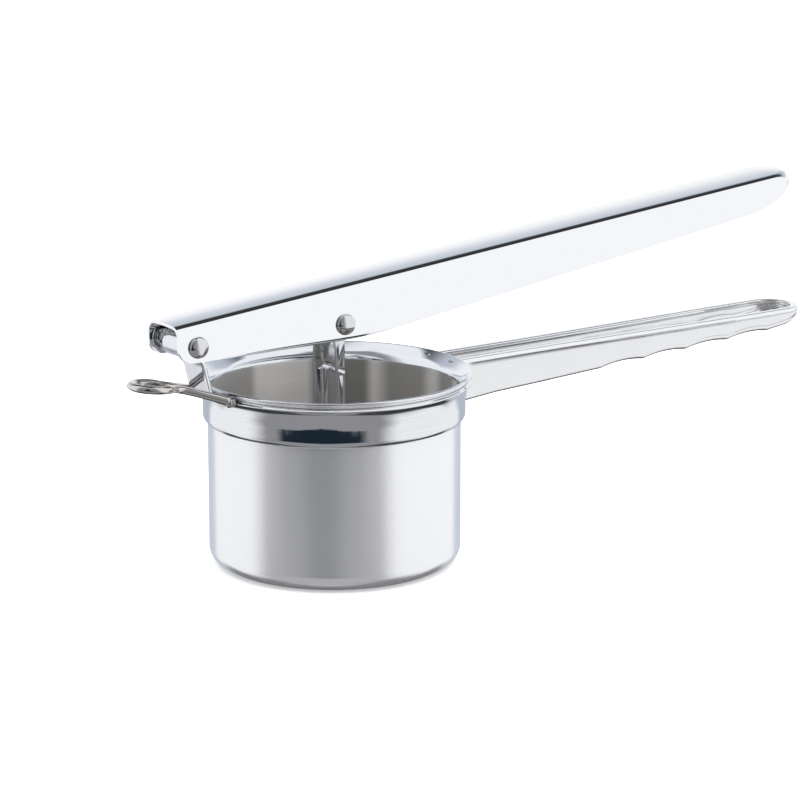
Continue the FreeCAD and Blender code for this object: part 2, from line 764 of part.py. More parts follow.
def build():
    hinge, drive = (sheet.hinge_x, sheet.hinge_z), (sheet.drive_x, sheet.drive_z)
    hinge_half = sheet.lever_hinge_half + 0.04
    drive_half = sheet.lever_drive_half
    bush_half = hinge_half - sheet.lever_sheet - 0.1
    return [
        make_cup(),
        make_collar(),
        make_handle(),
        make_handle_welds(),
        make_bracket(),
        make_bracket_weld(),
        make_hook(),
        make_hook_welds(),
        make_lever(),
        make_rivet("hinge_pin", *hinge, hinge_half, sheet.hinge_pin_radius),
        make_cap("hinge_pin_cap", *hinge, hinge_half, sheet.hinge_pin_radius),
        make_tube("hinge_bush", *hinge, sheet.hinge_pin_radius + 0.02, sheet.bush_radius, -bush_half, bush_half),
        make_rivet("plunger_pin", *drive, drive_half, sheet.drive_pin_radius),
        make_cap("plunger_pin_cap", *drive, drive_half, sheet.drive_pin_radius),
        make_washers(),
        make_stem(),
        make_disc(),
        make_disc_rivets(),
    ]


def check(parts):
    for item in doc.Objects:
        if {"Invalid", "Error"} & set(item.State):
            raise RuntimeError(f"{item.Label} failed: {item.State}")
    for part in parts:
        if part.Shape.isNull() or not part.Shape.isValid() or not part.Shape.Solids:
            raise RuntimeError(f"{part.Label} has no valid solid")


os.makedirs("parts", exist_ok=True)
nodes = build()
doc.recompute()
check(nodes)
for node in nodes:
    node.Shape.exportStep(f"parts/{node.Label}.step")
    box = node.Shape.BoundBox
    print(f"{node.Label:18s} solids {len(node.Shape.Solids)}  volume {node.Shape.Volume:9.1f}"
          f"  x {box.XMin:7.2f} {box.XMax:7.2f}  y {box.YMin:7.2f} {box.YMax:7.2f}"
          f"  z {box.ZMin:7.2f} {box.ZMax:7.2f}")
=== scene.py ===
import json
import math
import bmesh
import bpy
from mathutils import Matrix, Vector


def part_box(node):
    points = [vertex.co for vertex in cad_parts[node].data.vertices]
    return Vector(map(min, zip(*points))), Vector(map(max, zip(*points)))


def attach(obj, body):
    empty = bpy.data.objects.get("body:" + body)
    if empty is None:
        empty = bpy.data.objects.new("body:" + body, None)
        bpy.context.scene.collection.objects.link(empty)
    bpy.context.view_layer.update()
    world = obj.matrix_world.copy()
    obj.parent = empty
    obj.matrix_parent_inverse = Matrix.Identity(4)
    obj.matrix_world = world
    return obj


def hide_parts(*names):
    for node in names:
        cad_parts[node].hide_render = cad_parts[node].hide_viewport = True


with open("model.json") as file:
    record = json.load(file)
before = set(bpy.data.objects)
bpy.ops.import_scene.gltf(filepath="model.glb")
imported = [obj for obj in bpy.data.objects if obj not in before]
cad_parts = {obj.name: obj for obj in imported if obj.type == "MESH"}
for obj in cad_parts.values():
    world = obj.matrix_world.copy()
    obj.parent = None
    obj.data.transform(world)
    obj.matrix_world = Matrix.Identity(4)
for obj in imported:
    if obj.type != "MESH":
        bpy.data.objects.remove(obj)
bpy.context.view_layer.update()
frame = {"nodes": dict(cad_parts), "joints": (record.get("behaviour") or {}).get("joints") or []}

mm = 0.001
scene = bpy.context.scene


def boxMm(node):
    low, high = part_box(node)
    return low / mm, high / mm


def jointMm(name):
    place = next(joint["pos_m"] for joint in frame["joints"] if joint["name"] == name)
    return Vector(place) / mm


def turned(vector, angle):
    c, s = math.cos(angle), math.sin(angle)
    return Vector((vector.x * c - vector.y * s, vector.x * s + vector.y * c))


def rounded(points, closed=True, step=9.0):
    made = []
    for i, point in enumerate(points):
        here = Vector(point[:2])
        onEnd = not closed and i in (0, len(points) - 1)
        if len(point) < 3 or onEnd:
            made.append(here)
            continue
        back = (Vector(points[i - 1][:2]) - here).normalized()
        ahead = (Vector(points[(i + 1) % len(points)][:2]) - here).normalized()
        half = back.angle(ahead) / 2
        sweep = math.pi - 2 * half
        centre = here + (back + ahead).normalized() * point[2] / math.sin(half)
        spoke = here + back * point[2] / math.tan(half) - centre
        side = 1 if back.x * ahead.y - back.y * ahead.x < 0 else -1
        count = max(3, round(math.degrees(sweep) / step))
        made += [centre + turned(spoke, side * sweep * k / count) for k in range(count + 1)]
    return made


def arc(centre, radius, start, end, count):
    angles = [math.radians(start + (end - start) * k / count) for k in range(count + 1)]
    x, y = centre
    return [Vector((x + radius * math.cos(a), y + radius * math.sin(a))) for a in angles]


def resampled(path, spacing):
    lengths = [0.0]
    for a, b in zip(path, path[1:]):
        lengths.append(lengths[-1] + (b - a).length)
    count = max(2, round(lengths[-1] / spacing))
    made, i = [], 0
    for k in range(count + 1):
        at = lengths[-1] * k / count
        while i < len(path) - 2 and lengths[i + 1] < at:
            i += 1
        span = max(lengths[i + 1] - lengths[i], 1e-9)
        made.append(path[i].lerp(path[i + 1], min(1.0, (at - lengths[i]) / span)))
    return made


def heightAt(line, x):
    for a, b in zip(line, line[1:]):
        if a.x <= x <= b.x and b.x > a.x:
            return a.y + (b.y - a.y) * (x - a.x) / (b.x - a.x)
    return line[0].y if x < line[0].x else line[-1].y


def smooth(low, high, value):
    t = min(1.0, max(0.0, (value - low) / (high - low)))
    return t * t * (3 - 2 * t)


def skin(rings, around=True, along=False, caps=False):
    n, m = len(rings[0]), len(rings)
    points = [Vector(p) for ring in rings for p in ring]
    faces = []
    for i in range(m if along else m - 1):
        j = (i + 1) % m
        for k in range(n if around else n - 1):
            q = (k + 1) % n
            faces.append((i * n + k, i * n + q, j * n + q, j * n + k))
    if caps:
        faces.append(tuple(range(n)))
        faces.append(tuple((m - 1) * n + k for k in range(n)))
    return points, faces


def lathed(profile, steps, centre=(0.0, 0.0), caps=False):
    rings = []
    for k in range(steps):
        a = 2 * math.pi * k / steps
        rings.append([(centre[0] + p.x * math.cos(a), centre[1] + p.x * math.sin(a), p.y) for p in profile])
    points, faces = skin(rings, around=not caps, along=True)
    if caps:
        n = len(profile)
        faces.append(tuple(k * n for k in range(steps)))
        faces.append(tuple(k * n + n - 1 for k in range(steps)))
    return points, faces


def addPiece(name, points, faces, materials):
    mesh = bpy.data.meshes.new(name)
    mesh.from_pydata([p * mm for p in points], [], faces)
    work = bmesh.new()
    work.from_mesh(mesh)
    bmesh.ops.remove_doubles(work, verts=work.verts, dist=0.002 * mm)
    bmesh.ops.dissolve_degenerate(work, edges=work.edges, dist=0.001 * mm)
    bmesh.ops.recalc_face_normals(work, faces=work.faces)
    work.to_mesh(mesh)
    work.free()
    piece = bpy.data.objects.new(name, mesh)
    scene.collection.objects.link(piece)
    for material in materials:
        mesh.materials.append(material)
    return piece


def shade(piece, sharp):
    mesh = piece.data
    mesh.polygons.foreach_set("use_smooth", [True] * len(mesh.polygons))
    mesh.set_sharp_from_angle(angle=math.radians(sharp))
    mesh.update()


def settle(piece, sharp=34.0):
    graph = bpy.context.evaluated_depsgraph_get()
    old = piece.data
    made = bpy.data.meshes.new_from_object(piece.evaluated_get(graph))
    piece.modifiers.clear()
    piece.data = made
    made.name = old.name
    bpy.data.meshes.remove(old)
    shade(piece, sharp)


def bevelled(piece, width, segments=2, angle=40.0, weighted=True):
    bevel = piece.modifiers.new("edges", "BEVEL")
    bevel.width = width * mm
    bevel.segments = segments
    bevel.limit_method = "ANGLE"
    bevel.angle_limit = math.radians(angle)
    if weighted:
        shade(piece, 60.0)
        even = piece.modifiers.new("evenNormals", "WEIGHTED_NORMAL")
        even.keep_sharp = True


def cadCopy(node, name, materials, width):
    mesh = frame["nodes"][node].data.copy()
    work = bmesh.new()
    work.from_mesh(mesh)
    bmesh.ops.remove_doubles(work, verts=work.verts, dist=0.002 * mm)
    bmesh.ops.dissolve_limit(work, angle_limit=math.radians(0.5), verts=work.verts, edges=work.edges)
    work.to_mesh(mesh)
    work.free()
    mesh.materials.clear()
    for material in materials:
        mesh.materials.append(material)
    piece = bpy.data.objects.new(name, mesh)
    scene.collection.objects.link(piece)
    bevelled(piece, width)
    settle(piece, 50.0)
    return piece


def belongs(piece, body, slot, *nodes):
    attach(piece, body)
    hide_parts(*nodes)


view = {
    "azimuth": 35.28,         # degrees from +Y towards +X that the camera looks along
    "pitch": 13.82,           # degrees it looks down
    "eye": (-540.6, -800.9, 290.6),
    "lens": 138.47,
    "sensor": 36.0,
    "exposure": 0.0,
}


def makeCamera():
    camera = bpy.data.cameras.new("camera")
    camera.lens = view["lens"]
    camera.sensor_width = view["sensor"]
    camera.clip_start, camera.clip_end = 0.01, 50.0
    item = bpy.data.objects.new("camera", camera)
    scene.collection.objects.link(item)
    a, p = math.radians(view["azimuth"]), math.radians(view["pitch"])
    ahead = Vector((math.sin(a) * math.cos(p), math.cos(a) * math.cos(p), -math.sin(p)))
    item.location = Vector(view["eye"]) * mm
    item.rotation_euler = ahead.to_track_quat("-Z", "Y").to_euler()
    scene.camera = item
    scene.view_settings.view_transform = "Standard"
    scene.view_settings.exposure = view["exposure"]


studio = {
    "frontAzimuth": 34.0,                   # the stand's front, degrees clockwise from -Y seen from above
    "white": (0.97, 0.98, 1.0),
    "rear": (0.50, 0.55, 0.63),             # low strip behind the stand
    "haze": (0.55, 0.60, 0.67),             # between the white wall and the ceiling
    "ceiling": (0.035, 0.038, 0.042),
    "apron": (0.30, 0.30, 0.31),            # grey table edge in front
    "gap": (0.012, 0.022, 0.035),           # unlit gap over the table edge
    "hood": (0.30, 0.30, 0.31),             # dim room in front, over the gap
    "ground": (0.05, 0.05, 0.053),          # the table's own shade, seen by faces that look down
    "floorPale": (0.90, 0.90, 0.90),
    "floorLight": (0.93, 0.93, 0.93),
    "floorGlow": 0.3,
    "floorReach": 4000.0,
    "sun": 3.1,
    "sunSpread": 100.0,
    "sunTilt": (-8.0, 6.0),
}

# Where each shade of the studio lies, in degrees. Rise is up from level, side is round from the
# stand's front either way, and offset is round from the middle of the dim zones.
zones = {
    "behind": (106.0, 122.0),              # side over which the front changes to the back
    "groundFull": (-58.0, -38.0),          # rise at the front, rise behind
    "groundNone": (-32.0, -22.0),
    "rearSide": (134.0, 146.0),
    "rearRise": (-34.0, -7.0, 2.0),
    "hazeFrom": (70.0, 12.0),              # rise at the front, rise behind
    "hazeDepth": 14.0,
    "darkFrom": (6.0, 15.0),               # over the foot of the haze, at the front and behind
    "darkFull": (12.0, 36.0),
    "middle": 11.0,                        # the dim zones' middle is this far left of the front
    "hoodOffset": (40.0, 64.0),
    "hoodRise": (8.0, 66.0, 4.0),
    "apronRise": (-28.0, -12.0),           # the apron narrows over this rise
    "apronReach": (62.0, 52.0),
    "apronEdge": (-8.0, 16.0),
    "apronTop": (6.0, 14.0),
    "raggedScale": 16.0,
    "footOffset": (2.0, 30.0),             # the gap's lower edge climbs over this offset
    "footRise": (-25.0, -20.0),
    "footRagged": 5.0,
    "crestOffset": (2.0, 20.0),            # the gap's upper edge falls over this offset
    "crestRise": (30.0, -17.0),
    "crestRagged": 14.0,
    "gapEdge": 1.5,
    "gapOffset": (32.0, 43.0),
}


class Nodes:
    def __init__(self, tree):
        self.tree = tree
        tree.nodes.clear()

    def add(self, kind, inputs=None, **settings):
        node = self.tree.nodes.new(kind)
        for key, value in settings.items():
            setattr(node, key, value)
        for key, value in (inputs or {}).items():
            if isinstance(value, bpy.types.NodeSocket):
                self.tree.links.new(value, node.inputs[key])
            else:
                node.inputs[key].default_value = value
        return node

    def math(self, operation, a, b=0.0, c=0.0):
        return self.add("ShaderNodeMath", {0: a, 1: b, 2: c}, operation=operation).outputs[0]

    def ramp(self, value, low, high, start=0.0, end=1.0, soft=True):
        kind = "SMOOTHSTEP" if soft else "LINEAR"
        inputs = {"Value": value, "From Min": low, "From Max": high, "To Min": start, "To Max": end}
        return self.add("ShaderNodeMapRange", inputs, interpolation_type=kind).outputs["Result"]

    def window(self, value, low, high, soft):
        up = self.ramp(value, low - soft, low + soft)
        down = self.ramp(value, high - soft, high + soft, 1.0, 0.0)
        return self.math("MULTIPLY", up, down)

    def mix(self, share, a, b):
        node = self.add("ShaderNodeMix", data_type="RGBA")
        for socket, value in ((node.inputs[0], share), (node.inputs[6], a), (node.inputs[7], b)):
            if isinstance(value, bpy.types.NodeSocket):
                self.tree.links.new(value, socket)
            elif socket.type == "RGBA":
                socket.default_value = (*value, 1.0)
            else:
                socket.default_value = value
        return node.outputs[2]

    def link(self, output, node, key):
        self.tree.links.new(output, node.inputs[key])


def makeStudio():
    world = bpy.data.worlds.new("studio")
    scene.world = world
    world.use_nodes = True
    nodes = Nodes(world.node_tree)
    direction = nodes.add("ShaderNodeTexCoord").outputs["Generated"]
    front = math.radians(studio["frontAzimuth"])
    axis = Vector((-math.sin(front), -math.cos(front), 0.0))
    right = Vector((math.cos(front), -math.sin(front), 0.0))

    def along(vector):
        dot = nodes.add("ShaderNodeVectorMath", {0: direction, 1: vector}, operation="DOT_PRODUCT")
        return dot.outputs["Value"]

    def times(*values):
        product = values[0]
        for value in values[1:]:
            product = nodes.math("MULTIPLY", product, value)
        return product

    degrees = 180.0 / math.pi
    turn = times(nodes.math("ARCTAN2", along(right), along(axis)), degrees)
    rise = times(nodes.math("ARCSINE", along(Vector((0, 0, 1)))), degrees)
    side = nodes.math("ABSOLUTE", turn)
    behind = nodes.ramp(side, *zones["behind"])

    def changing(name):
        front, back = zones[name]
        return nodes.math("MULTIPLY_ADD", behind, back - front, front)

    ground = nodes.ramp(rise, changing("groundFull"), changing("groundNone"), 1.0, 0.0)
    colour = nodes.mix(ground, studio["white"], studio["ground"])
    rear = times(nodes.ramp(side, *zones["rearSide"]), nodes.window(rise, *zones["rearRise"]))
    colour = nodes.mix(rear, colour, studio["rear"])
    over = nodes.math("SUBTRACT", rise, changing("hazeFrom"))
    colour = nodes.mix(nodes.ramp(over, 0.0, zones["hazeDepth"]), colour, studio["haze"])
    dark = nodes.ramp(over, changing("darkFrom"), changing("darkFull"))
    colour = nodes.mix(dark, colour, studio["ceiling"])
    offset = nodes.math("ABSOLUTE", nodes.math("ADD", turn, zones["middle"]))
    hood = nodes.ramp(offset, *zones["hoodOffset"], 1.0, 0.0)
    hood = times(hood, nodes.window(rise, *zones["hoodRise"]))
    colour = nodes.mix(hood, colour, studio["hood"])
    spread = nodes.ramp(rise, *zones["apronRise"], *zones["apronReach"], soft=False)
    apron = nodes.ramp(nodes.math("SUBTRACT", offset, spread), *zones["apronEdge"], 1.0, 0.0)
    apron = times(apron, nodes.ramp(rise, *zones["apronTop"], 1.0, 0.0))
    colour = nodes.mix(apron, colour, studio["apron"])
    noise = {"Vector": direction, "Scale": zones["raggedScale"], "Detail": 3.0}
    ragged = nodes.add("ShaderNodeTexNoise", noise).outputs["Fac"]
    foot = nodes.ramp(offset, *zones["footOffset"], *zones["footRise"])
    foot = nodes.math("MULTIPLY_ADD", ragged, zones["footRagged"], foot)
    crest = nodes.ramp(offset, *zones["crestOffset"], *zones["crestRise"])
    crest = nodes.math("MULTIPLY_ADD", ragged, zones["crestRagged"], crest)
    edge = zones["gapEdge"]
    overFoot = nodes.ramp(nodes.math("SUBTRACT", rise, foot), -edge, edge)
    underCrest = nodes.ramp(nodes.math("SUBTRACT", rise, crest), -edge, edge, 1.0, 0.0)
    gap = times(overFoot, underCrest, nodes.ramp(offset, *zones["gapOffset"], 1.0, 0.0))
    colour = nodes.mix(gap, colour, studio["gap"])
    shine = nodes.add("ShaderNodeBackground", {"Color": colour, "Strength": 1.0})
    out = nodes.add("ShaderNodeOutputWorld")
    nodes.link(shine.outputs[0], out, "Surface")

    lamp = bpy.data.lights.new("overhead", "SUN")
    lamp.energy = studio["sun"]
    lamp.angle = math.radians(studio["sunSpread"])
    item = bpy.data.objects.new("overhead", lamp)
    tiltX, tiltY = studio["sunTilt"]
    item.rotation_euler = (math.radians(tiltX), math.radians(tiltY), 0.0)
    item.visible_glossy = False
    scene.collection.objects.link(item)


def makeFloor():
    reach = studio["floorReach"]
    signs = ((-1, -1), (1, -1), (1, 1), (-1, 1))
    corners = [Vector((x * reach, y * reach, 0.0)) for x, y in signs]
    paint = bpy.data.materials.new("paleFloor")
    paint.use_nodes = True
    nodes = Nodes(paint.node_tree)
    place = nodes.add("ShaderNodeTexCoord").outputs["Object"]
    grain = nodes.add("ShaderNodeTexNoise", {"Vector": place, "Scale": 9.0, "Detail": 3.0}).outputs["Fac"]
    colour = nodes.mix(grain, studio["floorPale"], studio["floorLight"])
    surface = nodes.add("ShaderNodeBsdfPrincipled", {
        "Base Color": colour, "Roughness": 0.9, "Specular IOR Level": 0.1,
        "Emission Color": (1.0, 1.0, 1.0, 1.0), "Emission Strength": studio["floorGlow"]})
    out = nodes.add("ShaderNodeOutputMaterial")
    nodes.link(surface.outputs[0], out, "Surface")
    floor = addPiece("floor", corners, [(0, 1, 2, 3)], [paint])
    floor.visible_glossy = False


def steel(name, look):
    made = bpy.data.materials.new(name)
    made.use_nodes = True
    nodes = Nodes(made.node_tree)
    place = nodes.add("ShaderNodeTexCoord").outputs["Object"]
    place = nodes.add("ShaderNodeVectorMath", {0: place, "Scale": 1.0 / mm}, operation="SCALE").outputs[0]
    grain = look.get("grain", "turned")
    fine = look.get("fine", 5.0)
    if grain == "turned":
        split = nodes.add("ShaderNodeSeparateXYZ", {0: place})
        flat = nodes.add("ShaderNodeCombineXYZ", {"X": split.outputs["X"], "Y": split.outputs["Y"]})
        radius = nodes.add("ShaderNodeVectorMath", {0: flat.outputs[0]}, operation="LENGTH").outputs["Value"]
        lines = nodes.add("ShaderNodeCombineXYZ", {"X": radius, "Y": split.outputs["Z"]}).outputs[0]
        lines = nodes.add("ShaderNodeVectorMath", {0: lines, "Scale": fine}, operation="SCALE").outputs[0]
        drift = nodes.add("ShaderNodeVectorMath", {0: place, "Scale": 0.03}, operation="SCALE").outputs[0]
        lines = nodes.add("ShaderNodeVectorMath", {0: lines, 1: drift}, operation="ADD").outputs[0]
    else:
        stretch = {"x": (0.03, 1.0, 1.0), "y": (1.0, 0.03, 1.0), "z": (1.0, 1.0, 0.03)}[grain]
        scale = [s * fine for s in stretch]
        lines = nodes.add("ShaderNodeMapping", {"Vector": place, "Scale": scale}).outputs[0]

    def noise(vector, scale, detail, roughness=0.5):
        inputs = {"Vector": vector, "Scale": scale, "Detail": detail, "Roughness": roughness}
        return nodes.add("ShaderNodeTexNoise", inputs).outputs["Fac"]

    brush = noise(lines, 1.0, 4.0, 0.65)
    cloud = noise(place, 0.07, 4.0)
    swell = noise(place, look.get("swellScale", 0.05), 1.0)
    marks = noise(lines, 0.31, 2.0)
    scratch = nodes.ramp(marks, 0.70, 0.76)
    rough = look["rough"]
    uneven = look.get("uneven", 0.16)
    spread = nodes.ramp(cloud, 0.3, 0.7, rough * (1.0 - uneven), rough * (1.0 + uneven))
    swing = rough * look.get("streak", 0.25)
    streak = nodes.ramp(brush, 0.2, 0.8, -swing, swing)
    spread = nodes.math("ADD", nodes.math("ADD", spread, streak), nodes.math("MULTIPLY", scratch, 0.05))
    dull = [c * (1.0 - look.get("tint", 0.08)) for c in look["colour"]]
    colour = nodes.mix(nodes.ramp(brush, 0.25, 0.75), look["colour"], dull)
    # Painted reflection: the colour is dimmed in windows of angle round the Z axis, standing in for
    # reflected dim surroundings.
    if "paintedReflectionBands" in look:
        spot = nodes.add("ShaderNodeSeparateXYZ", {0: place}).outputs
        angle = nodes.math("MULTIPLY", nodes.math("ARCTAN2", spot["Y"], spot["X"]), 180.0 / math.pi)
        for low, high, soft, dim in look["paintedReflectionBands"]:
            paintedReflection = [c * dim for c in look["colour"]]
            colour = nodes.mix(nodes.window(angle, low, high, soft), colour, paintedReflection)
    if "stain" in look:
        heat = nodes.ramp(cloud, 0.45, 0.62)
        colour = nodes.mix(nodes.math("MULTIPLY", heat, 0.6), colour, look["stain"])
    bump = nodes.add("ShaderNodeBump", {
        "Height": swell, "Strength": look.get("swell", 0.02), "Distance": 1.0 * mm})
    bump = nodes.add("ShaderNodeBump", {
        "Height": brush, "Strength": look.get("depth", 0.05), "Distance": 0.1 * mm,
        "Normal": bump.outputs[0]})
    surface = nodes.add("ShaderNodeBsdfPrincipled", {
        "Base Color": colour, "Metallic": look.get("metal", 1.0), "Roughness": spread,
        "Normal": bump.outputs[0]})
    if "stretch" in look:
        tangent = nodes.add("ShaderNodeTangent", direction_type="RADIAL", axis="Z")
        surface.inputs["Anisotropic"].default_value = look["stretch"]
        nodes.link(tangent.outputs[0], surface, "Tangent")
        surface.inputs["Anisotropic Rotation"].default_value = look.get("turn", 0.0)
    out = nodes.add("ShaderNodeOutputMaterial")
    nodes.link(surface.outputs[0], out, "Surface")
    return made


finishes = {
    "satinCup": {"colour": (0.89, 0.89, 0.90), "rough": 0.205, "depth": 0.05, "fine": 7.0, "swell": 0.01,
                 "streak": 0.08, "tint": 0.03, "metal": 0.77, "uneven": 0.04},
    "brushedBorePaintedReflections": {"colour": (0.97, 0.95, 0.92), "rough": 0.46, "depth": 0.2, "fine": 3.0, "tint": 0.12,
                    "streak": 0.12, "stretch": 0.9, "turn": 0.25, "metal": 0.25,
                    # Angle windows (low, high, soft, dim) that darken the bore's colour: painted reflection
                    # bands in place of reflected dim surroundings, not a property of the steel.
                    "paintedReflectionBands": [(-158.0, -118.0, 3.0, 0.50), (-84.0, -48.0, 3.0, 0.36),
                              (-20.0, -4.0, 4.0, 0.50), (6.0, 32.0, 5.0, 0.42), (39.0, 67.0, 3.0, 0.32),
                              (98.0, 150.0, 3.0, 0.50)]},
    "polishedLip": {"colour": (0.86, 0.88, 0.91), "rough": 0.06, "depth": 0.02, "fine": 3.0},
    "mirrorCollar": {"colour": (0.86, 0.87, 0.885), "rough": 0.055, "depth": 0.02, "fine": 3.0,
                     "swell": 0.06, "swellScale": 0.16},
    "satinHandle": {"colour": (0.87, 0.87, 0.87), "rough": 0.20, "depth": 0.10, "fine": 5.0, "grain": "x",
                    "streak": 0.15, "tint": 0.05},
    "polishedRim": {"colour": (0.96, 0.96, 0.96), "rough": 0.14, "depth": 0.03, "fine": 5.0, "grain": "x"},
    "mirrorLever": {"colour": (0.94, 0.945, 0.95), "rough": 0.035, "depth": 0.003, "fine": 4.0, "grain": "x",
                    "streak": 0.1, "tint": 0.01, "swell": 0.012, "swellScale": 0.02},
    "polishedWire": {"colour": (0.74, 0.71, 0.68), "rough": 0.12, "depth": 0.04, "fine": 6.0, "grain": "x"},
    "polishedStrap": {"colour": (0.86, 0.87, 0.90), "rough": 0.06, "depth": 0.02, "fine": 4.0, "grain": "z",
                      "swell": 0.08, "swellScale": 0.2},
    "polishedRivet": {"colour": (0.78, 0.78, 0.79), "rough": 0.08, "depth": 0.03, "fine": 5.0, "grain": "y"},
    "plungerSteel": {"colour": (0.80, 0.80, 0.82), "rough": 0.12, "depth": 0.06, "fine": 5.0, "grain": "z"},
    "turnedDisc": {"colour": (0.76, 0.75, 0.74), "rough": 0.22, "depth": 0.3, "fine": 3.0},
    "weldSteel": {"colour": (0.62, 0.60, 0.58), "rough": 0.28, "depth": 0.3, "fine": 2.0, "grain": "x",
                  "stain": (0.52, 0.40, 0.26)},
}


class Tree(Nodes):
    def __init__(self, name, sizes):
        tree = bpy.data.node_groups.new(name, "GeometryNodeTree")
        super().__init__(tree)
        tree.interface.new_socket("Geometry", in_out="INPUT", socket_type="NodeSocketGeometry")
        tree.interface.new_socket("Geometry", in_out="OUTPUT", socket_type="NodeSocketGeometry")
        for label, value in sizes.items():
            socket = tree.interface.new_socket(label, in_out="INPUT", socket_type="NodeSocketFloat")
            socket.default_value = value
        tree.interface.new_socket("Material", in_out="INPUT", socket_type="NodeSocketMaterial")
        self.given = self.add("NodeGroupInput").outputs
        self.result = self.add("NodeGroupOutput")

    def joined(self, *parts):
        node = self.add("GeometryNodeJoinGeometry")
        for part in parts:
            self.tree.links.new(part, node.inputs[0])
        return node.outputs[0]

    def moved(self, part, **inputs):
        return self.add("GeometryNodeTransform", {"Geometry": part, **inputs}).outputs[0]

    def finish(self, part):
        part = self.add("GeometryNodeRealizeInstances", {"Geometry": part}).outputs[0]
        inputs = {"Geometry": part, "Material": self.given["Material"]}
        part = self.add("GeometryNodeSetMaterial", inputs).outputs[0]
        self.link(part, self.result, "Geometry")


def grow(piece, tree, sizes, material, sharp=34.0):
    modifier = piece.modifiers.new(tree.name, "NODES")
    modifier.node_group = tree
    for item in tree.interface.items_tree:
        if item.in_out == "INPUT" and item.name in sizes:
            modifier[item.identifier] = float(sizes[item.name])
        if item.in_out == "INPUT" and item.name == "Material":
            modifier[item.identifier] = material
    settle(piece, sharp)


def perforationTree(rings):
    tree = Tree("perforations", {"Pitch": 0.0054, "Hole radius": 0.0015, "Sheet": 0.0012, "Flare": 0.0002})
    given = tree.given
    circles = []
    for ring in range(1, rings + 1):
        radius = tree.math("MULTIPLY", given["Pitch"], float(ring))
        circle = tree.add("GeometryNodeMeshCircle", {"Vertices": 6 * ring, "Radius": radius})
        circles.append(circle.outputs[0])
    wide = tree.math("ADD", given["Hole radius"], tree.math("MULTIPLY", given["Flare"], 2.0))
    reach = tree.math("MULTIPLY", given["Sheet"], 2.0)
    shaft = tree.add("GeometryNodeMeshCylinder", {
        "Vertices": 16, "Radius": given["Hole radius"], "Depth": reach}).outputs[0]
    middle = tree.add("ShaderNodeCombineXYZ", {"Z": tree.math("MULTIPLY", given["Sheet"], 0.5)}).outputs[0]
    shaft = tree.moved(shaft, Translation=middle)
    mouth = tree.add("GeometryNodeMeshCone", {
        "Vertices": 16, "Radius Bottom": wide, "Radius Top": given["Hole radius"],
        "Depth": tree.math("MULTIPLY", given["Flare"], 2.0)}).outputs[0]
    below = tree.add("ShaderNodeCombineXYZ", {"Z": tree.math("MULTIPLY", given["Flare"], -1.0)}).outputs[0]
    mouth = tree.moved(mouth, Translation=below)
    cutter = tree.joined(shaft, mouth)
    places = tree.joined(*circles)
    cutters = tree.add("GeometryNodeInstanceOnPoints", {"Points": places, "Instance": cutter}).outputs[0]
    cutters = tree.add("GeometryNodeRealizeInstances", {"Geometry": cutters}).outputs[0]
    inputs = {"Mesh 1": given["Geometry"], "Mesh 2": cutters}
    cut = tree.add("GeometryNodeMeshBoolean", inputs, operation="DIFFERENCE")
    tree.finish(cut.outputs[0])
    return tree.tree


def rivetTree():
    tree = Tree("rivets", {
        "Head radius": 0.0035, "Head height": 0.002, "Shank radius": 0.0015, "Span": 0.019})
    given = tree.given
    ball = tree.add("GeometryNodeMeshUVSphere", {"Segments": 48, "Rings": 32, "Radius": 1.0}).outputs[0]
    place = tree.add("GeometryNodeInputPosition").outputs[0]
    split = tree.add("ShaderNodeSeparateXYZ", {0: place})
    above = tree.math("MAXIMUM", split.outputs["Z"], 0.0)
    full = tree.math("POWER", above, 0.82)
    inputs = {"X": split.outputs["X"], "Y": split.outputs["Y"], "Z": full}
    flat = tree.add("ShaderNodeCombineXYZ", inputs).outputs[0]
    dome = tree.add("GeometryNodeSetPosition", {"Geometry": ball, "Position": flat}).outputs[0]
    size = tree.add("ShaderNodeCombineXYZ", {
        "X": given["Head radius"], "Y": given["Head radius"], "Z": given["Head height"]}).outputs[0]
    half = tree.math("MULTIPLY", given["Span"], 0.5)
    up = tree.add("ShaderNodeCombineXYZ", {"Z": half}).outputs[0]
    down = tree.add("ShaderNodeCombineXYZ", {"Z": tree.math("MULTIPLY", half, -1.0)}).outputs[0]
    top = tree.moved(dome, Translation=up, Scale=size)
    bottom = tree.moved(dome, Translation=down, Scale=size, Rotation=(math.pi, 0.0, 0.0))
    shank = tree.add("GeometryNodeMeshCylinder", {
        "Vertices": 32, "Radius": given["Shank radius"], "Depth": given["Span"]}).outputs[0]
    rivet = tree.joined(top, bottom, shank)
    points = tree.add("GeometryNodeMeshToPoints", {"Mesh": given["Geometry"]}).outputs[0]
    axis = tree.add("GeometryNodeInputNamedAttribute", {"Name": "axis"}, data_type="FLOAT_VECTOR").outputs[0]
    turn = tree.add("FunctionNodeAlignRotationToVector", {"Vector": axis}, axis="Z").outputs[0]
    inputs = {"Points": points, "Instance": rivet, "Rotation": turn}
    made = tree.add("GeometryNodeInstanceOnPoints", inputs).outputs[0]
    tree.finish(made)
    return tree.tree


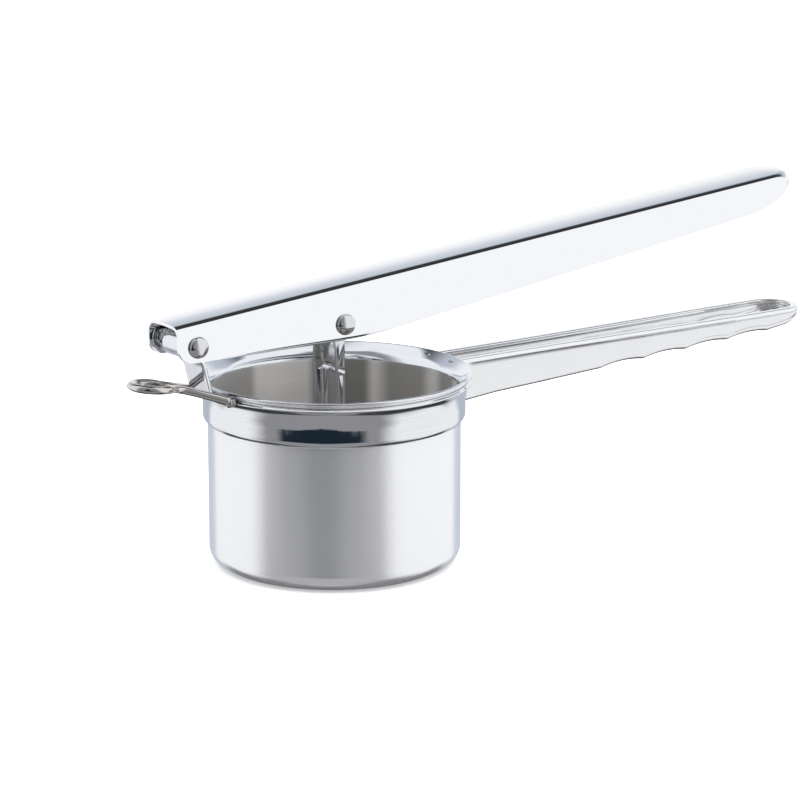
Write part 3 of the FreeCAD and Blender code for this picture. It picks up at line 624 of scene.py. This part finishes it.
def weldTree():
    tree = Tree("weldBead", {"Bead radius": 0.0009, "Spacing": 0.0009, "Flatness": 0.75})
    given = tree.given
    curve = tree.add("GeometryNodeMeshToCurve", {"Mesh": given["Geometry"]}).outputs[0]
    dots = tree.add("GeometryNodeCurveToPoints", {"Curve": curve, "Length": given["Spacing"]}, mode="LENGTH")
    inputs = {"Radius": given["Bead radius"], "Subdivisions": 3}
    drop = tree.add("GeometryNodeMeshIcoSphere", inputs).outputs[0]
    jitter = tree.add("FunctionNodeRandomValue", data_type="FLOAT")
    jitter.inputs[2].default_value = 0.86
    jitter.inputs[3].default_value = 1.0
    jitter.inputs["Seed"].default_value = 7
    size = jitter.outputs[1]
    flat = tree.math("MULTIPLY", size, given["Flatness"])
    scale = tree.add("ShaderNodeCombineXYZ", {"X": size, "Y": size, "Z": flat})
    made = tree.add("GeometryNodeInstanceOnPoints", {
        "Points": dots.outputs["Points"], "Instance": drop, "Rotation": dots.outputs["Rotation"],
        "Scale": scale.outputs[0]}).outputs[0]
    tree.finish(made)
    return tree.tree


cup = {
    "radius": 41.0,
    "sheet": 1.2,
    "corner": 5.5,
    "flareCorner": 58.16,      # height where the upright wall and the 45 degree flare would meet
    "flareBend": 4.0,
    "edge": 0.55,
    "holePitch": 5.4,
    "holeRadius": 1.5,
    "holeRings": 6,
    "steps": 288,
}


def makeCup(steels):
    _, high = boxMm("pressing_cup")
    lip, top, sheet = high.x, high.z, cup["sheet"]
    outer, inner = cup["radius"], cup["radius"] - sheet
    lean = sheet * math.sqrt(0.5)
    rim = top - lean
    innerCorner = top - (lip - lean - inner)
    flat = outer - cup["corner"]
    profile = rounded([
        (flat, 0.0),
        (outer, 0.0, cup["corner"]),
        (outer, cup["flareCorner"], cup["flareBend"]),
        (lip, rim, cup["edge"]),
        (lip - lean, top, cup["edge"]),
        (inner, innerCorner, cup["flareBend"] + sheet),
        (inner, sheet, cup["corner"] - sheet),
        (flat, sheet),
    ], closed=False, step=5.0)
    points, faces = lathed(profile, cup["steps"], caps=True)
    piece = addPiece("pressingCup", points, faces, [steels["satinCup"]])
    tree = perforationTree(cup["holeRings"])
    sizes = {"Pitch": cup["holePitch"] * mm, "Hole radius": cup["holeRadius"] * mm, "Sheet": sheet * mm}
    grow(piece, tree, sizes, steels["satinCup"])
    for name in ("brushedBorePaintedReflections", "polishedLip"):
        piece.data.materials.append(steels[name])
    for face in piece.data.polygons:
        centre, facing = face.center / mm, face.normal
        radius = math.hypot(centre.x, centre.y)
        outward = (facing.x * centre.x + facing.y * centre.y) / max(radius, 1e-6)
        inside = outward < -0.3 or (facing.z > 0.3 and radius < inner + 0.1)
        if centre.z > cup["flareCorner"] - 0.6 and (inside or centre.z > rim):
            face.material_index = 2
        elif inside and centre.z > sheet * 0.9:
            face.material_index = 1
    belongs(piece, "cup", "cup_steel", "pressing_cup")


collar = {
    "gap": 0.05,
    "sheet": 1.45,
    "leanFrom": 2.6,           # drop from the flare's corner to where the wall starts to lean
    "lean": 15.0,
    "leanBend": 14.0,
    "bend": 3.0,
    "roll": 2.3,               # rounding of the lower edge
    "edge": 0.35,
    "innerBend": 4.0,
    "lap": 0.15,               # how far the roll stops short of the cup
    "steps": 288,
}


def makeCollar(steels):
    low, high = boxMm("collar_ring")
    inner = cup["radius"] + collar["gap"]
    outer = inner + collar["sheet"]
    lean = collar["sheet"] * math.sqrt(0.5)
    lip, top = high.x, high.z
    outerCorner = top - lean - (lip - outer)
    innerCorner = top - (lip - lean - inner)
    start = collar["leanFrom"]
    slope = math.tan(math.radians(collar["lean"]))
    climb = start * slope / (1 - slope)
    roll = collar["roll"]
    sweep = math.acos((inner + collar["lap"] - outer + roll) / roll)
    rollTop = low.z + roll * math.sin(sweep)
    profile = arc((outer - roll, rollTop), roll, -math.degrees(sweep), 0.0, 12)
    profile += rounded([
        (outer, rollTop + 0.1),
        (outer, outerCorner - start, collar["leanBend"]),
        (outer + climb, outerCorner + climb, collar["bend"]),
        (lip, top - lean, collar["edge"]),
        (lip - lean, top, collar["edge"]),
        (inner, innerCorner, collar["innerBend"]),
        (inner, low.z + 0.2),
    ], closed=False, step=5.0)
    points, faces = lathed(profile, collar["steps"])
    piece = addPiece("collarRing", points, faces, [steels["mirrorCollar"]])
    shade(piece, 34.0)
    belongs(piece, "cup", "collar_steel", "collar_ring")


handle = {
    "strip": 2.6,
    "rootHalf": 8.1,
    "endHalf": 10.0,
    "rootStraight": 85.0,
    "swell": 165.0,
    "easing": 200.0,
    "underside": [(40.0, 47.4), (47.0, 47.45), (60.0, 48.6), (81.0, 49.5), (104.0, 50.8)],
    "fingerStart": 104.0,
    "fingerPitch": 18.5,
    "fingerCount": 4,
    "fingerRise": (50.8, 54.8),
    "fingerRadius": 45.0,
    "afterFingers": [(187.5, 56.0), (194.5, 58.0), (202.0, 58.2)],
    "dishDepth": 0.95,
    "dishStart": (46.0, 49.5),
    "rimTop": 1.3,
    "rimBottom": 0.4,
    "edge": 0.5,
    "foot": 1.25,              # rounding of the lower edges
    "spacing": 1.2,
    "dishHeights": (3.0, 6.5), # strip heights over which the dish grows in
}


def handleUnderside():
    line = [Vector(p) for p in handle["underside"]]
    start, pitch, count = handle["fingerStart"], handle["fingerPitch"], handle["fingerCount"]
    low, high = handle["fingerRise"]
    radius = handle["fingerRadius"]
    arch = radius - math.sqrt(radius ** 2 - (pitch / 2) ** 2)
    for finger in range(count):
        for k in range(1, 13):
            share = k / 12
            base = low + (high - low) * (finger + share) / count
            bulge = 1 - (2 * share - 1) ** 2
            line.append(Vector((start + pitch * (finger + share), base + arch * bulge)))
    return line + [Vector(p) for p in handle["afterFingers"]]


def handleSection(height, dish):
    half, edge, foot = handle["strip"] / 2, handle["edge"], handle["foot"]
    rim = min(handle["rimTop"], height * 0.3)
    base = height - foot - handle["rimBottom"]
    side = []
    for k in range(5):
        a = math.pi / 2 * k / 4
        side.append((half - edge * (1 - math.sin(a)), edge * (1 - math.cos(a))))
    side.append((half, rim))
    for k in range(13):
        t = 0.02 + 0.96 * k / 12
        side.append((half - handle["dishDepth"] * dish * (1 - (2 * t - 1) ** 4), rim + (base - rim) * t))
    side.append((half, base))
    for k in range(6):
        a = math.pi / 2 * k / 5
        side.append((half - foot * (1 - math.cos(a)), height - foot * (1 - math.sin(a))))
    return [(w, -d) for w, d in side] + [(-w, -d) for w, d in reversed(side)]


def makeHandle(steels):
    low, high = boxMm("lower_handle")
    half = handle["strip"] / 2
    root, end = handle["rootHalf"] - half, handle["endHalf"] - half
    tip = high.x - half
    ease = handle["easing"]
    near = [(low.x - 0.1, -root), (handle["rootStraight"], -root, ease), (handle["swell"], -end, ease),
            (tip, -end, end - 0.01)]
    path = rounded(near + [(p[0], -p[1], *p[2:]) for p in reversed(near)], closed=False, step=4.0)
    path = resampled(path, handle["spacing"])
    under = handleUnderside()
    rings = []
    for i, at in enumerate(path):
        tangent = (path[min(i + 1, len(path) - 1)] - path[max(i - 1, 0)]).normalized()
        outward = Vector((tangent.y, -tangent.x))
        height = high.z - heightAt(under, at.x)
        dish = smooth(*handle["dishStart"], at.x) * smooth(*handle["dishHeights"], height)
        section = handleSection(height, dish)
        rings.append([(at.x + outward.x * w, at.y + outward.y * w, high.z + z) for w, z in section])
    points, faces = skin(rings, caps=True)
    piece = addPiece("lowerHandle", points, faces, [steels["satinHandle"], steels["polishedRim"]])
    shade(piece, 60.0)
    for face in piece.data.polygons:
        centre = face.center / mm
        if centre.z > high.z - handle["rimTop"]:
            face.material_index = 1
    belongs(piece, "cup", "handle_steel", "lower_handle")


bracket = {
    "width": 12.6,
    "sheet": 1.2,
    "footZ": 60.4,
    "bend": 4.25,
    "lean": 75.6,
    "curl": 4.1,
    "curlSweep": 260.0,
    "footEnd": -43.6,
    "edge": 0.3,
    "curlSteps": 44,
    "spacing": 0.7,
}


def ribbon(path, halfWidth, halfSheet, across=8):
    rings = []
    for i, at in enumerate(path):
        tangent = (path[min(i + 1, len(path) - 1)] - path[max(i - 1, 0)]).normalized()
        side = Vector((-tangent.y, tangent.x)) * halfSheet
        ys = [halfWidth * (2 * k / across - 1) for k in range(across + 1)]
        ring = [(at.x + side.x, y, at.y + side.y) for y in ys]
        ring += [(at.x - side.x, y, at.y - side.y) for y in reversed(ys)]
        rings.append(ring)
    return skin(rings, caps=True)


def makeBracket(steels):
    hinge = jointMm("lever_hinge")
    lean = math.radians(bracket["lean"])
    under = hinge.z - bracket["curl"]
    bend = bracket["bend"]
    reach = bend * math.tan(lean / 2)
    upper = hinge.x + reach
    lower = upper + (under - bracket["footZ"]) / math.tan(lean)
    footEnd, footZ = bracket["footEnd"], bracket["footZ"]
    rise = rounded([(footEnd, footZ), (lower, footZ, bend), (upper, under, bend), (hinge.x, under)],
                   closed=False, step=6.0)
    last = -90.0 - bracket["curlSweep"]
    curl = arc((hinge.x, hinge.z), bracket["curl"], -90.0, last, bracket["curlSteps"])
    path = resampled(rise + curl[1:], bracket["spacing"])
    points, faces = ribbon(path, bracket["width"] / 2, bracket["sheet"] / 2)
    piece = addPiece("hingeBracket", points, faces, [steels["polishedStrap"]])
    bevelled(piece, bracket["edge"], segments=3)
    settle(piece)
    belongs(piece, "cup", "bracket_steel", "hinge_bracket")


hook = {
    "wire": 2.6,
    "legEnd": (-46.3, -9.9),
    "pinch": (-60.6, -1.75),
    "pinchBend": 5.0,
    "eye": 6.3,
    "tip": -74.6,
    "heights": [(-76.0, 67.75), (-66.0, 66.7), (-60.6, 65.6), (-55.0, 64.02), (-46.3, 61.1), (-44.0, 60.3)],
    "ends": [(0.0, 0.55), (0.15, 0.85), (0.4, 1.0)],    # mm along, share of the radius
    "loopSteps": 80,
    "spacing": 0.7,
    "easings": 12,
    "sides": 28,
}


def makeHook(steels):
    centre = Vector((hook["tip"] + hook["eye"], 0.0))
    pinch = Vector(hook["pinch"])
    gap = pinch - centre
    touch = math.degrees(math.atan2(gap.y, gap.x) - math.acos(hook["eye"] / gap.length))
    tangent = centre + turned(Vector((hook["eye"], 0.0)), math.radians(touch))
    leg = rounded([hook["legEnd"], (*pinch, hook["pinchBend"]), tuple(tangent)], closed=False, step=5.0)
    loop = arc(centre, hook["eye"], touch, -360.0 - touch, hook["loopSteps"])
    other = [Vector((p.x, -p.y)) for p in reversed(leg)]
    plan = resampled(leg[:-1] + loop + other[1:], hook["spacing"])
    heights = [Vector(p) for p in hook["heights"]]
    path = [Vector((p.x, p.y, heightAt(heights, p.x))) for p in plan]
    for _ in range(hook["easings"]):
        eased = [path[0]]
        for a, b, c in zip(path, path[1:], path[2:]):
            eased.append(Vector((b.x, b.y, (a.z + 2 * b.z + c.z) / 4)))
        path = eased + [path[-1]]
    rings = []
    radius = hook["wire"] / 2
    ends = hook["ends"]
    for i, at in enumerate(path):
        tangent = (path[min(i + 1, len(path) - 1)] - path[max(i - 1, 0)]).normalized()
        side = tangent.cross(Vector((0, 0, 1))).normalized()
        up = side.cross(tangent)
        stations = [(0.0, 1.0)]
        if i == 0:
            stations = [(d - ends[-1][0], s) for d, s in ends]
        if i == len(path) - 1:
            stations = [(ends[-1][0] - d, s) for d, s in reversed(ends)]
        for shift, scale in stations:
            ring = []
            for k in range(hook["sides"]):
                a = 2 * math.pi * k / hook["sides"]
                ring.append(at + tangent * shift + (side * math.cos(a) + up * math.sin(a)) * radius * scale)
            rings.append(ring)
    points, faces = skin(rings, caps=True)
    piece = addPiece("potHook", points, faces, [steels["polishedWire"]])
    shade(piece, 50.0)
    belongs(piece, "cup", "hook_wire", "pot_hook")


lever = {
    "sheet": 1.0,
    "backHalf": 9.25,
    "noseRadius": 10.9,
    "corner": 3.6,
    "crown": 0.6,
    "backTop": 86.69,
    "tip": 191.2,
    "tipTop": 111.59,
    "lowerCorner": 5.0,
    "bendAt": 7.0,
    "bendRadius": 190.0,
    "noseLower": (181.1, 99.4, 45.0),
    "noseEnd": (194.0, 112.2),
    "edge": 0.22,
    "sideSteps": 96,
    "cornerSteps": 12,
    "noseSteps": 64,
}


def leverColumn(spine, edge, topAt, low):
    half, top = (edge - spine).length, topAt(edge.x)
    outward = (edge - spine) / half
    radius, crown = lever["corner"], lever["crown"]
    tilt = 0.0
    for _ in range(4):
        start = half - radius * (1 - math.sin(tilt))
        tilt = math.atan(2 * crown * start / half ** 2)
    made = [(start * k / 8, top - crown * (start * k / 8 / half) ** 2) for k in range(9)]
    middle = made[-1][1] - radius * math.cos(tilt)
    last = math.pi / 2
    if low > middle:
        last = math.acos(min(1.0, (low - middle) / radius))
    last = max(last, tilt + 0.01)
    for k in range(1, 15):
        a = tilt + (last - tilt) * k / 14
        made.append((half - radius * (1 - math.sin(a)), middle + radius * math.cos(a)))
    foot = made[-1]
    for k in range(1, 11):
        made.append((foot[0], foot[1] + (min(low, foot[1]) - foot[1]) * k / 10))
    column = []
    for v, z in made:
        at = spine + outward * v
        column.append((at.x, at.y, z + topAt(at.x) - top))
    return column


def makeLever(steels):
    low, _ = boxMm("upper_lever")
    back, tip = low.x, lever["tip"]
    nose = tip - lever["noseRadius"]
    under = rounded([(back, lever["backTop"]), (back, low.z, lever["lowerCorner"]),
                     (lever["bendAt"], low.z + 0.1, lever["bendRadius"]), lever["noseLower"],
                     lever["noseEnd"]], closed=False, step=3.0)[1:]
    under[0] = under[0] - Vector((0.001, 0.0))

    def topAt(x):
        share = (x - back) / (tip - back)
        return lever["backTop"] + (lever["tipTop"] - lever["backTop"]) * share

    turns, steps = lever["cornerSteps"], lever["sideSteps"]
    side = [back + lever["lowerCorner"] * (1 - math.cos(k * math.pi / 2 / turns)) for k in range(turns + 1)]
    side += [side[-1] + (nose - side[-1]) * k / steps for k in range(1, steps + 1)]
    outline = []
    for x in side:
        half = lever["backHalf"] + (lever["noseRadius"] - lever["backHalf"]) * (x - back) / (nose - back)
        outline.append((Vector((x, 0.0)), Vector((x, -half))))
    centre = Vector((nose, 0.0))
    around = arc(centre, lever["noseRadius"], -90.0, 90.0, lever["noseSteps"])
    outline += [(centre, p) for p in around[1:-1]]
    outline += [(spine, Vector((edge.x, -edge.y))) for spine, edge in reversed(outline[:len(side)])]
    columns = [leverColumn(spine, edge, topAt, heightAt(under, edge.x)) for spine, edge in outline]
    points, faces = skin(columns, around=False)
    piece = addPiece("upperLever", points, faces, [steels["mirrorLever"]])
    wall = piece.modifiers.new("sheet", "SOLIDIFY")
    wall.thickness = lever["sheet"] * mm
    wall.offset = -1.0
    wall.use_even_offset = True
    bevelled(piece, lever["edge"], angle=50.0, weighted=False)
    settle(piece, 40.0)
    belongs(piece, "lever", "lever_steel", "upper_lever")


rivets = {
    "headRadius": 3.5,
    "headHeight": 2.0,
    "hingeShank": 2.0,
    "driveShank": 1.5,
    "discShank": 1.6,
    "discHead": 2.8,
    "discHeadHeight": 1.6,
}


def axisPoints(name, places, axis):
    points = bpy.data.meshes.new(name)
    points.from_pydata([Vector(p) * mm for p in places], [], [])
    spin = points.attributes.new("axis", "FLOAT_VECTOR", "POINT")
    for k in range(len(places)):
        spin.data[k].vector = axis
    piece = bpy.data.objects.new(name, points)
    scene.collection.objects.link(piece)
    return piece


def makeRivets(steels):
    tree = rivetTree()
    for name, joint, node, cap, shank in (
            ("hingeRivet", "lever_hinge", "hinge_pin", "hinge_pin_cap", rivets["hingeShank"]),
            ("driveRivet", "plunger_pivot", "plunger_pin", "plunger_pin_cap", rivets["driveShank"])):
        low, _ = boxMm(node)
        seat = -low.y - rivets["headHeight"]
        piece = axisPoints(name, [jointMm(joint)], (0.0, -1.0, 0.0))
        sizes = {"Head radius": rivets["headRadius"], "Head height": rivets["headHeight"],
                 "Shank radius": shank, "Span": 2 * seat}
        sizes = {name: size * mm for name, size in sizes.items()}
        grow(piece, tree, sizes, steels["polishedRivet"], 60.0)
        belongs(piece, "lever", "rivet_steel", node, cap)
    low, high = boxMm("disc_rivets")
    span = high.z - low.z - rivets["discHeadHeight"]
    middle = (low + high) / 2
    reach = (high.y - low.y) / 2 - rivets["discHead"]
    places = [(middle.x, side * reach, low.z + span / 2) for side in (-1, 1)]
    piece = axisPoints("discRivets", places, (0.0, 0.0, 1.0))
    sizes = {"Head radius": rivets["discHead"], "Head height": rivets["discHeadHeight"],
             "Shank radius": rivets["discShank"], "Span": span}
    sizes = {name: size * mm for name, size in sizes.items()}
    grow(piece, tree, sizes, steels["polishedRivet"], 60.0)
    belongs(piece, "plunger", "rivet_steel", "disc_rivets")
    bush = cadCopy("hinge_bush", "hingeBush", [steels["polishedRivet"]], 0.15)
    belongs(bush, "lever", "rivet_steel", "hinge_bush")
    washers = cadCopy("plunger_washers", "plungerWashers", [steels["polishedRivet"]], 0.12)
    belongs(washers, "lever", "rivet_steel", "plunger_washers")


disc = {
    "sheet": 1.2,
    "corner": 4.0,
    "edge": 0.5,
    "steps": 192,
}


def makePlunger(steels):
    stem = cadCopy("plunger_stem", "plungerStem", [steels["plungerSteel"]], 0.18)
    belongs(stem, "plunger", "plunger_steel", "plunger_stem")
    low, high = boxMm("plunger_disc")
    radius, sheet = (high.x - low.x) / 2, disc["sheet"]
    profile = rounded([
        (0.0, low.z),
        (radius, low.z, disc["corner"]),
        (radius, high.z, disc["edge"]),
        (radius - sheet, high.z, disc["edge"]),
        (radius - sheet, low.z + sheet, disc["corner"] - sheet),
        (0.0, low.z + sheet),
    ], closed=False, step=6.0)
    points, faces = lathed(profile, disc["steps"], centre=((low.x + high.x) / 2, 0.0), caps=True)
    plate = addPiece("plungerDisc", points, faces, [steels["turnedDisc"]])
    shade(plate, 34.0)
    belongs(plate, "plunger", "plunger_steel", "plunger_disc")


welds = {
    "bead": 0.95,
    "spacing": 0.8,
    "inset": 0.9,              # bead line in from the sides of the weld's box
    "footSteps": 24,
    "spot": 1.82,              # hook spots in from the ends of their box
    "spotReach": 0.5,
    "spotBead": 1.7,
}


def chain(name, paths):
    points, edges = [], []
    for path in paths:
        first = len(points)
        points += [Vector(p) * mm for p in path]
        edges += [(first + k, first + k + 1) for k in range(len(path) - 1)]
    mesh = bpy.data.meshes.new(name)
    mesh.from_pydata(points, edges, [])
    piece = bpy.data.objects.new(name, mesh)
    scene.collection.objects.link(piece)
    return piece


def makeWelds(steels):
    tree = weldTree()
    sizes = {"Bead radius": welds["bead"] * mm, "Spacing": welds["spacing"] * mm}
    inset, reach = welds["inset"], welds["spotReach"]
    low, high = boxMm("handle_welds")
    x, y = (low.x + high.x) / 2, high.y - inset
    seams = [[(x, side * y, low.z + inset), (x, side * y, high.z - inset)] for side in (-1, 1)]
    low, high = boxMm("bracket_weld")
    radius, z = -low.x - inset, (low.z + high.z) / 2
    spread = math.degrees(math.asin((high.y - inset) / radius))
    foot = [(-p.x, p.y, z) for p in arc((0.0, 0.0), radius, -spread, spread, welds["footSteps"])]
    low, high = boxMm("hook_welds")
    x, z = (low.x + high.x) / 2, (low.z + high.z) / 2
    y = high.y - welds["spot"]
    spots = [[(x - reach, side * y, z), (x + reach, side * y, z)] for side in (-1, 1)]
    for name, node, paths, extra in (
            ("handleWelds", "handle_welds", seams, {}),
            ("bracketWeld", "bracket_weld", [foot], {}),
            ("hookWelds", "hook_welds", spots, {"Bead radius": welds["spotBead"] * mm})):
        piece = chain(name, paths)
        grow(piece, tree, {**sizes, **extra}, steels["weldSteel"], 60.0)
        belongs(piece, "cup", "weld_steel", node)


makeCamera()
makeStudio()
makeFloor()
print("camera, light and floor made")
steels = {name: steel(name, look) for name, look in finishes.items()}
for stage in (makeCup, makeCollar, makeHandle, makeBracket, makeHook, makeLever, makeRivets, makePlunger,
              makeWelds):
    stage(steels)
    print(stage.__name__, "done")
